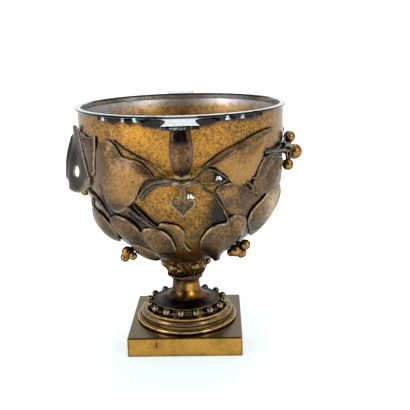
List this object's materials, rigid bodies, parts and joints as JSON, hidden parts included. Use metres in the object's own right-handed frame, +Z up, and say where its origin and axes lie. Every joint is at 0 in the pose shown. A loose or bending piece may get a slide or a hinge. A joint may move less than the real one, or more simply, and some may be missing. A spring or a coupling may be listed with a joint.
{
  "type": "two-handled bowl",
  "caption": "Deep bronze bowl on a stemmed foot and square plinth, with a strap handle on each side and applied ivy leaves, twigs and berries.",
  "frame": {"origin": "on the bowl's axis at the underside of the plinth, which is the bottom centre of the bounding box within its tolerance", "axes": "+Z up along the bowl's axis, -Y towards the front handle and +Y towards the rear one, +X to the right of a viewer who faces the front handle"},
  "size_m": [0.1239, 0.16, 0.1307],
  "materials": {
    "gilt": "gilt bronze, worn satin, with dark patina in the hollows",
    "gold_wall": "gilt bronze, satin, speckled with dark pits",
    "dark_bronze": "dark patinated bronze, polished on the high spots",
    "red_brown": "red-brown patinated bronze, polished",
    "bright_edge": "pale, polished bronze with the gilding worn off",
    "leaf_brown": "brown patinated bronze, rubbed gold on the edges",
    "steel": "plain steel, out of sight"
  },
  "bodies": {
    "root": {"base_moulding": "gilt", "bead_ring": "gilt", "berries_front_left": "gilt", "berries_front_right": "gilt", "berries_rear_left": "gilt", "berries_rear_right": "gilt", "berries_right": "gilt", "bowl_shell": "gold_wall", "calyx": "leaf_brown", "front_grip": "red_brown", "front_knot": "dark_bronze", "front_root_left": "dark_bronze", "front_root_right": "dark_bronze", "front_spur_leaf": "leaf_brown", "front_thumb_plate": "bright_edge", "leaf_front_crescent": "leaf_brown", "leaf_front_left_drop": "leaf_brown", "leaf_front_left_oval": "leaf_brown", "leaf_front_left_shield": "leaf_brown", "leaf_front_left_slip": "leaf_brown", "leaf_front_right_dart": "leaf_brown", "leaf_front_right_fold": "leaf_brown", "leaf_front_right_shell": "leaf_brown", "leaf_front_right_twin": "leaf_brown", "leaf_left_blade": "leaf_brown", "leaf_left_curled": "leaf_brown", "leaf_left_round": "leaf_brown", "leaf_rear_left_curled": "leaf_brown", "leaf_rear_left_drop": "leaf_brown", "leaf_rear_left_oval": "leaf_brown", "leaf_rear_left_round": "leaf_brown", "leaf_rear_left_shield": "leaf_brown", "leaf_rear_right_cloak": "leaf_brown", "leaf_rear_right_dart": "leaf_brown", "leaf_rear_right_fold": "leaf_brown", "leaf_rear_right_shell": "leaf_brown", "leaf_rear_right_twin": "leaf_brown", "leaf_right_cloak": "leaf_brown", "leaf_right_wing": "leaf_brown", "liner": "gold_wall", "nut": "steel", "plinth": "gilt", "rear_grip": "red_brown", "rear_knot": "dark_bronze", "rear_root_left": "dark_bronze", "rear_root_right": "dark_bronze", "rear_spur_leaf": "leaf_brown", "rear_thumb_plate": "bright_edge", "rim_band": "bright_edge", "stem": "dark_bronze", "tie_rod": "steel", "vine_front_left": "leaf_brown", "vine_left": "leaf_brown", "vine_rear_left": "leaf_brown", "vine_rear_right": "leaf_brown", "vine_right": "leaf_brown", "vine_right_low": "leaf_brown", "washer": "steel"}
  },
  "joints": []
}
